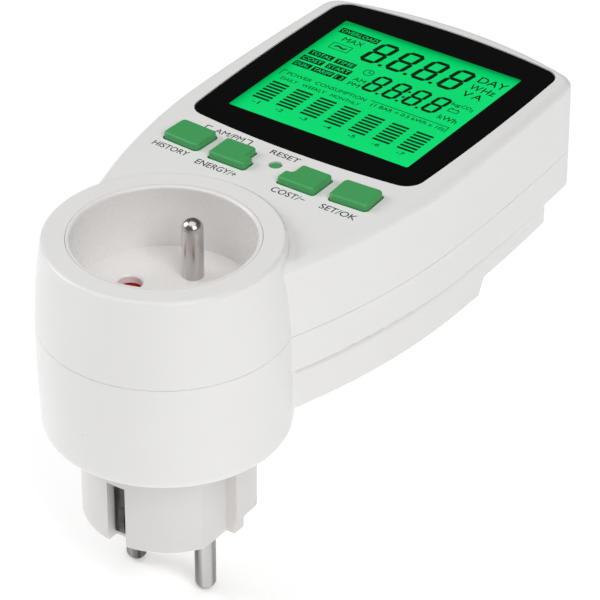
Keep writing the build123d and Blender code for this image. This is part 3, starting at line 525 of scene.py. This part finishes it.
figures = []
for place in range(digits):
    figures += digit(-13.1 + large_pitch * place, large_near, 4.9, 9.8, stroke=1.12)
    figures += digit(-5.1 + small_pitch * place, small_near, 3.8, 7.8, stroke=0.88)
for left, pitch, near, size in decimal_points:
    for place in range(digits - 1):
        figures.append(flat_bar(left + pitch * place, near, size, size, cell_top))
for colon_near in (82.2, 84.8):
    figures.append(flat_bar(4.9, colon_near, 0.7, 0.7, cell_top))
for column in range(columns):
    for bar in range(bars_in_column):
        figures.append(flat_bar(
            -22.8 + column_pitch * column, 63.5 + bar_pitch * bar, 4.5, 0.68, cell_top))
display_figures = one_film(figures, "display_figures", film)

# Tags are dark boxes whose words stay lit. The rows of each table here give the
# left edge, the near edge, the width and the depth in millimetres.
tag_rows = (
    ("OVERLOAD", -23.7, 98.8, 10.6, 2.3),
    ("TOTAL", -23.7, 86.4, 6.4, 2.2),
    ("TIME", -16.6, 86.4, 5.3, 2.2),
    ("COST", -23.9, 83.4, 6.0, 2.2),
    ("START", -17.0, 83.4, 6.6, 2.2),
    ("DUAL", -23.9, 80.4, 4.6, 2.2),
    ("TARIFF", -18.8, 80.4, 5.6, 2.2),
    ("1 2", -12.7, 80.4, 2.7, 2.2),
)
side_margin = 0.4
end_margin = 0.45
tag_boxes = []
tag_words = []
for words, left, near, width, depth in tag_rows:
    tag_boxes.append(flat_bar(left, near, width, depth, cell_top))
    tag_words.append(lettering(
        words, left + side_margin, near + end_margin,
        width - 2 * side_margin, depth - 2 * end_margin, cell_top + film))
display_tags = one_film(tag_words, "display_tags", film)

caption_rows = (
    ("MAX", -20.8, 95.8, 5.6, 1.9),
    ("~", -20.6, 92.4, 3.2, 1.1),
    ("AM", -8.5, 82.3, 3.1, 1.5),
    ("PM", -8.5, 80.0, 3.0, 1.5),
    ("DAY", 15.0, 97.7, 7.2, 2.7),
    ("W", 15.0, 94.1, 2.9, 2.4),
    ("Hz", 18.3, 94.1, 3.3, 2.4),
    ("V", 15.1, 90.7, 2.3, 2.4),
    ("A", 17.9, 90.7, 2.4, 2.4),
    ("kg", 15.9, 85.6, 2.2, 1.6),
    ("CO", 18.3, 86.0, 2.5, 1.3),
    ("2", 20.9, 85.6, 0.7, 1.0),
    ("kWh", 16.4, 79.2, 4.8, 1.8),
    ("POWER  CONSUMPTION", -22.2, 75.9, 21.4, 1.35),
    ("DAILY   WEEKLY   MONTHLY", -22.2, 73.4, 21.4, 1.25),
    ("(1 BAR = 0.5 kWh x 10)", 1.2, 74.8, 19.4, 1.7),
)
clock_hands = ((-7.3, 87.0, 0.2, 1.0), (-7.3, 87.0, 0.8, 0.2))
cell_caps = ((17.0, 84.5, 0.5, 0.3), (18.3, 84.5, 0.5, 0.3))
brackets = (
    (-23.8, 75.2, 0.2, 2.3),
    (-23.8, 77.4, 1.1, 0.2),
    (0.2, 77.1, 21.0, 0.2),
    (21.0, 74.8, 0.2, 2.4),
)
captions = list(tag_boxes)
for row in caption_rows:
    captions.append(lettering(*row, cell_top))
for row in clock_hands + cell_caps + brackets:
    captions.append(flat_bar(*row, cell_top))
captions.append(outline(-21.6, 91.5, 5.2, 2.9, line=0.18, level=cell_top))
captions.append(outline(16.6, 83.1, 2.6, 1.4, line=0.2, level=cell_top))
captions.append(ring(-7.2, 87.1, radius=1.3, line=0.2, level=cell_top))
for column in range(columns):
    captions.append(lettering(
        f"-{column + 1}", -21.6 + column_pitch * column, 61.3, 1.9, 1.25, cell_top))
display_captions = one_film(captions, "display_captions", film)

dark = Finish("segment_dark")
crystal = dark.grain(0.8)
segment_dark = dark.surface({
    "Base Color": dark.blend(crystal, rgb(0.0, 0.016, 0.003), rgb(0.0, 0.028, 0.006)),
    "Roughness": 0.35 + crystal * 0.1,
    "Specular IOR Level": 0.1,
})
for piece in (display_figures, display_captions):
    piece.data.materials.append(segment_dark)
    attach(piece, "housing")
display_tags.data.materials.append(lcd_green)
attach(display_tags, "housing")

# ---------------------------------------------------------------------------
# Window: clear polished acrylic bonded in the recess, printed glossy black
# round the view of the display.

edge_rate = 12.0
clear_tint = 0.04

pane = Finish("window")
x, y, z = pane.axes()
across = abs(x - (view_left + view_right) / 2) - (view_right - view_left) / 2 + view_round
along = abs(y - (view_near + view_far) / 2) - (view_far - view_near) / 2 + view_round
across = pane.sum("MAXIMUM", across, 0.0)
along = pane.sum("MAXIMUM", along, 0.0)
outside = pane.sum("SQRT", across * across + along * along) - view_round
black = pane.node(
    "ShaderNodeClamp", {}, {"Value": outside * edge_rate + 0.5, "Min": 0.0, "Max": 1.0})
under_side = z < (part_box("display_window")[0].z / millimetre + 0.05)
haze = pane.grain(26.0)
window_black = pane.surface({
    "Base Color": rgb(0.0008, 0.0008, 0.0009),
    "Roughness": 0.05 + haze * 0.03,
    "Alpha": black * (1.0 - under_side) * (1 - clear_tint) + clear_tint,
    "Specular IOR Level": 0.12,
})
dress(window_black, "display_window")

# ---------------------------------------------------------------------------
# Keys: four raised caps and the flush reset button, mid-green ABS with a fine
# matt skin, held by their flanges under the face. They press on a silicone
# mat with one dome under each.

key_green = moulded("key_green", (0.062, 0.385, 0.112), (0.050, 0.340, 0.096),
                    gloss=0.34, skin=0.20, depth=0.008)
dress(key_green, "key_history", "key_energy", "key_cost", "key_set", "reset_button")
silicone = moulded("silicone", (0.62, 0.62, 0.58), (0.54, 0.54, 0.50),
                   gloss=0.5, skin=0.6, depth=0.01, glow=0.3)
dress(silicone, "keypad_mat")

# ---------------------------------------------------------------------------
# Face print: black pad-printed words beside the keys and the thin bracket
# over the clock setting, all a film of ink on the casing's face.

ink = 0.012 * millimetre
face_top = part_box("display_window")[1].z + 0.1 * millimetre
legend_rows = (
    ("HISTORY", -27.6, 32.2, 9.4, 1.9),
    ("ENERGY/+", -15.2, 31.1, 10.6, 2.0),
    ("COST/\N{MINUS SIGN}", 5.0, 31.1, 8.6, 2.0),
    ("SET/OK", 17.6, 31.4, 9.2, 2.0),
    ("RESET", -4.1, 43.8, 7.5, 1.8),
    ("AM/PM", -19.4, 44.1, 7.7, 1.85),
)
rule = 0.28
bracket_rows = (
    (-22.2, 44.0, rule, 1.8),
    (-22.2, 45.7, 1.5, rule),
    (-10.0, 44.0, rule, 1.8),
    (-11.3, 45.7, 1.5, rule),
)
legends = [lettering(*row, face_top) for row in legend_rows]
legends += [flat_bar(*row, face_top) for row in bracket_rows]
face_legends = one_film(legends, "face_legends", ink)
printed = Finish("print_black")
speckle = printed.grain(0.25, detail=3.0)
print_black = printed.surface({
    "Base Color": printed.blend(speckle, rgb(0.006, 0.006, 0.006), rgb(0.018, 0.018, 0.018)),
    "Roughness": 0.35 + speckle * 0.2,
})
face_legends.data.materials.append(print_black)
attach(face_legends, "housing")

# ---------------------------------------------------------------------------
# Boards: green solder-masked laminate, its tracks lighter lines in the mask. One
# hangs from the front casing, the other sits on two posts in the back.

board = Finish("board")
x, y, z = board.axes()
track_pitch = 2.2
track_half = 0.22
weave_rate = 900.0
tracks = abs((x + y * 0.5) % track_pitch - track_pitch / 2) < track_half
patches = board.grain(7.0, detail=1.0) > 0.52
weave = board.node(
    "ShaderNodeTexWave", {"wave_type": "BANDS"}, {"Vector": board.place(), "Scale": weave_rate})
copper = tracks * patches
board_green = board.surface({
    "Base Color": board.blend(copper, rgb(0.012, 0.115, 0.040), rgb(0.030, 0.210, 0.075)),
    "Roughness": 0.30 + weave * 0.08,
    "Normal": board.bump(copper + weave * 0.2, 0.03, strength=0.5),
})
dress(board_green, "main_pcb", "power_pcb")

# ---------------------------------------------------------------------------
# Parts on the boards: chip, cell pack, capacitors, surge disc and the pin
# header, each soldered to its board.

chip_black = moulded("chip_black", (0.020, 0.020, 0.021), (0.014, 0.014, 0.015),
                     gloss=0.45, skin=0.25, depth=0.01)
dress(chip_black, "meter_chip")
header_black = moulded("header_black", (0.018, 0.018, 0.018), (0.012, 0.012, 0.012),
                       gloss=0.40, skin=0.3, depth=0.01)
dress(header_black, "board_link")
battery_sleeve = moulded("battery_sleeve", (0.06, 0.32, 0.12), (0.04, 0.24, 0.09),
                         gloss=0.22, skin=2.0, depth=0.05)
dress(battery_sleeve, "backup_battery")
capacitor_yellow = moulded("capacitor_yellow", (0.72, 0.50, 0.06), (0.62, 0.42, 0.05),
                           gloss=0.38, skin=0.5, depth=0.02)
dress(capacitor_yellow, "x_capacitor")
varistor_blue = moulded("varistor_blue", (0.03, 0.12, 0.42), (0.02, 0.09, 0.34),
                        gloss=0.18, skin=3.0, depth=0.08)
dress(varistor_blue, "varistor")
can_black = moulded("can_black", (0.02, 0.02, 0.025), (0.015, 0.015, 0.02),
                    gloss=0.20, skin=2.0, depth=0.04)
dress(can_black, "smoothing_capacitor")

# ---------------------------------------------------------------------------
# Screws: zinc-plated self-tapping screws, four deep in the wells of the back,
# four small ones for the display board and two for the power board.

screw_zinc = plated("screw_steel", (0.60, 0.60, 0.58), (0.42, 0.42, 0.42),
                    gloss=0.26, marks=0.01)
dress(screw_zinc, "casing_screws", "pcb_screws", "power_pcb_screws")

# ---------------------------------------------------------------------------
# Rating label: silver polyester in a shallow recess of the back, printed with
# plain electrical values that read from behind.

label_silver = moulded("label_silver", (0.55, 0.55, 0.55), (0.49, 0.49, 0.49),
                       gloss=0.32, skin=0.5, depth=0.01)
dress(label_silver, "rating_label")

label_low, label_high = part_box("rating_label")
label_left = label_low.x / millimetre
label_width = (label_high.x - label_low.x) / millimetre
label_near = label_low.y / millimetre
label_depth = (label_high.y - label_low.y) / millimetre
label_rows = ("230 V ~  50 Hz", "16 A  3680 W", "IP20")
row_pitch = label_depth / (len(label_rows) + 1)
row_drop = 0.44 * row_pitch
border = 1.0
margin = 3.0
letter_pitch = 1.55
letter_height = 2.6
label_lines = [outline(
    label_left + border, label_near + border, label_width - 2 * border,
    label_depth - 2 * border, line=0.25, level=label_low.z)]
for row, words in enumerate(label_rows):
    label_lines.append(lettering(
        words, label_left + margin,
        label_near + row_pitch * (len(label_rows) - row) - row_drop,
        min(label_width - 2 * margin, letter_pitch * len(words)),
        min(letter_height, row_pitch / 2), label_low.z))
# Turned left to right, so that it reads from behind.
for part in label_lines:
    for vertex in part.data.vertices:
        vertex.co.x = label_low.x + label_high.x - vertex.co.x
label_print = one_film(label_lines, "label_print", ink, facing=-1)
label_print.data.materials.append(print_black)
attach(label_print, "housing")

# ---------------------------------------------------------------------------
# Studio: a pale floor under the pins that glows slightly, three soft lamps and
# a dim white room. The camera looks down from the front and the right.

floor_level = cad_box[0].z
floor_size = 6
clear()
bpy.ops.mesh.primitive_plane_add(size=floor_size, location=(0, 0, floor_level))
floor = bpy.context.object
floor.name = "studio_floor"
pale = Finish("floor_pale")
pale_grain = pale.grain(400.0, detail=1.0)
floor.data.materials.append(pale.surface({
    "Base Color": pale.blend(pale_grain, rgb(0.90, 0.90, 0.90), rgb(0.92, 0.92, 0.92)),
    "Roughness": 0.8 + pale_grain * 0.05,
    "Specular IOR Level": 0.1,
    "Emission Color": rgb(1.0, 1.0, 1.0),
    "Emission Strength": 0.34,
}))

middle = Vector((0.0, 0.045, 0.03))


def lamp(name, place, size, power):
    """A square soft lamp that faces the middle of the object."""
    light = bpy.data.lights.new(name, "AREA")
    light.size = size
    light.energy = power
    made = bpy.data.objects.new(name, light)
    bpy.context.scene.collection.objects.link(made)
    made.location = place
    made.rotation_euler = (Vector(place) - middle).to_track_quat("Z", "Y").to_euler()


lamp("key_lamp", (-0.90, -0.25, 0.62), size=0.6, power=5.3)
lamp("top_lamp", (0.0, -0.05, 1.20), size=1.2, power=5.4)
lamp("fill_lamp", (0.80, -0.35, 0.78), size=0.6, power=5.7)

room = bpy.data.worlds.new("studio_room")
bpy.context.scene.world = room
room.use_nodes = True
walls = room.node_tree.nodes["Background"]
walls.inputs["Color"].default_value = (1.0, 1.0, 1.0, 1.0)
walls.inputs["Strength"].default_value = 0.12
bpy.context.scene.view_settings.view_transform = "Standard"

camera = bpy.data.objects.new("camera", bpy.data.cameras.new("camera"))
bpy.context.scene.collection.objects.link(camera)
camera.data.lens = 241.0
camera.data.sensor_width = 36.0
camera.data.clip_start = 0.05
camera.data.clip_end = 20.0
camera.location = (0.43462, -0.56867, 0.51945)
camera_aim = Vector((0.003852, 0.044297, 0.030723))
camera.rotation_euler = (camera.location - camera_aim).to_track_quat("Z", "Y").to_euler()
bpy.context.scene.camera = camera
